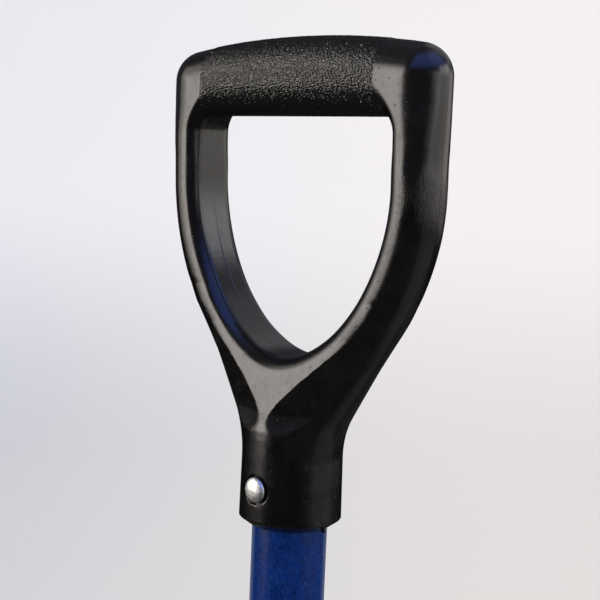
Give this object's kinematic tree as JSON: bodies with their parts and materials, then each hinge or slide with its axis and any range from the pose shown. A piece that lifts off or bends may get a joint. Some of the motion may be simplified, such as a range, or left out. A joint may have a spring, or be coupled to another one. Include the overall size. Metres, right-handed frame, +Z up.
{
  "type": "grub hoe",
  "caption": "Digging hoe with a broad forged blade on a blue fibreglass handle, held by a black moulded D-grip with a textured hand bar, riveted at the socket.",
  "frame": {"origin": "centre of the butt cap's flat underside, on the handle's axis", "axes": "+Z up the handle towards the D-grip, -Y towards the blade's cutting edge, X across the blade and along the hand bar"},
  "size_m": [0.1508, 0.2445, 0.8991],
  "materials": {
    "grip_plastic": "semi-gloss black moulded plastic, faint flow and wear",
    "grip_texture": "black overmould with a leather-like grain",
    "rivet_steel": "bright zinc-plated steel",
    "shaft_fibreglass": "royal blue, with a fine fibrous veil under a clear gloss",
    "plug_wood": "turned hardwood",
    "bush_plastic": "matt black nylon",
    "head_steel": "black painted forging with a ground bright edge",
    "collar_rubber": "matt black rubber"
  },
  "bodies": {
    "root": {"d_grip": "grip_plastic", "grip_sleeve": "grip_texture", "grip_rivet": "rivet_steel", "grip_rivet_washer": "rivet_steel", "shaft_tube": "shaft_fibreglass", "top_plug": "plug_wood", "bottom_plug": "plug_wood", "eye_sleeve": "bush_plastic", "hoe_head": "head_steel", "head_rivet": "rivet_steel", "head_rivet_washer": "rivet_steel", "head_collar": "collar_rubber", "butt_cap": "bush_plastic"}
  },
  "joints": []
}
